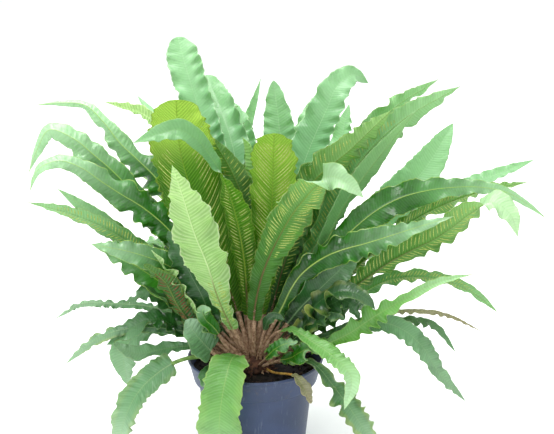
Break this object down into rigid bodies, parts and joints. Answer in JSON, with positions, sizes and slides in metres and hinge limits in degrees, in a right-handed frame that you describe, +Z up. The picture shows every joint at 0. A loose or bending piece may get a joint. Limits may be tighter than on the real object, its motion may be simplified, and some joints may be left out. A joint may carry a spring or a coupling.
{
  "type": "potted fern",
  "caption": "Hart's-tongue fern with wavy strap fronds that arch out of a round tapered nursery pot with a deep rim band.",
  "frame": {"origin": "middle of the pot's underside, on the surface it stands on", "axes": "+Z up, +X to the plant's right seen from the front, -Y the plant's front"},
  "size_m": [0.7328, 0.4522, 0.5642],
  "materials": {
    "pot_plastic": "satin moulded plastic, anthracite blue-grey",
    "soil": "matte moist potting compost",
    "crown": "matte scaly rhizome and old stalk bases",
    "leaf_green": "satin leathery leaf, mid green",
    "leaf_lime": "satin leaf underside, lime with cream spore bars",
    "leaf_dark": "satin leathery leaf, dark green",
    "leaf_mint": "satin leaf, pale blue-green",
    "leaf_dry": "matte yellowing or drying leaf"
  },
  "bodies": {
    "root": {"pot": "pot_plastic", "soil": "soil", "crown": "crown", "tall_left": "leaf_mint", "tall_left_behind": "leaf_mint", "tall_middle": "leaf_mint", "back_sliver": "leaf_mint", "back_middle": "leaf_mint", "back_right_of_middle": "leaf_mint", "tall_right": "leaf_mint", "back_right": "leaf_mint", "top_left_small": "leaf_lime", "top_left_behind": "leaf_mint", "right_high_sori": "leaf_lime", "right_high_long": "leaf_lime", "right_high_behind": "leaf_lime", "right_pale": "leaf_mint", "right_inner_dark": "leaf_dark", "right_pointed": "leaf_mint", "right_far": "leaf_mint", "right_arch": "leaf_green", "right_sori_behind": "leaf_lime", "right_front_arch": "leaf_green", "right_sori": "leaf_lime", "right_dark": "leaf_dark", "right_curly": "leaf_green", "right_low_dark": "leaf_dark", "right_dry": "leaf_dry", "right_hanging": "leaf_dark", "right_twisted": "leaf_dark", "front_right_arch": "leaf_green", "front_right_twisted": "leaf_green", "front_yellow": "leaf_dry", "front_hanging": "leaf_green", "front_dark_small": "leaf_dark", "left_hanging": "leaf_dark", "left_bent": "leaf_dark", "left_bent_down": "leaf_green", "left_low_arch": "leaf_dark", "left_crinkled": "leaf_dark", "left_round": "leaf_green", "left_brown_sori": "leaf_dark", "left_low_green": "leaf_green", "left_sori_low": "leaf_dark", "left_small_tip": "leaf_green", "left_wavy": "leaf_green", "left_middle_arch": "leaf_green", "left_high_arch": "leaf_green", "left_pale_behind": "leaf_mint", "middle_wide": "leaf_lime", "middle_folded": "leaf_lime", "middle_left_sori": "leaf_lime", "middle_slim": "leaf_lime", "middle_front_pale": "leaf_lime", "middle_upright": "leaf_lime", "middle_front": "leaf_lime", "middle_right_dark": "leaf_dark", "back_low_middle": "leaf_green", "back_low_right": "leaf_green", "back_low_left": "leaf_green"}
  },
  "joints": []
}
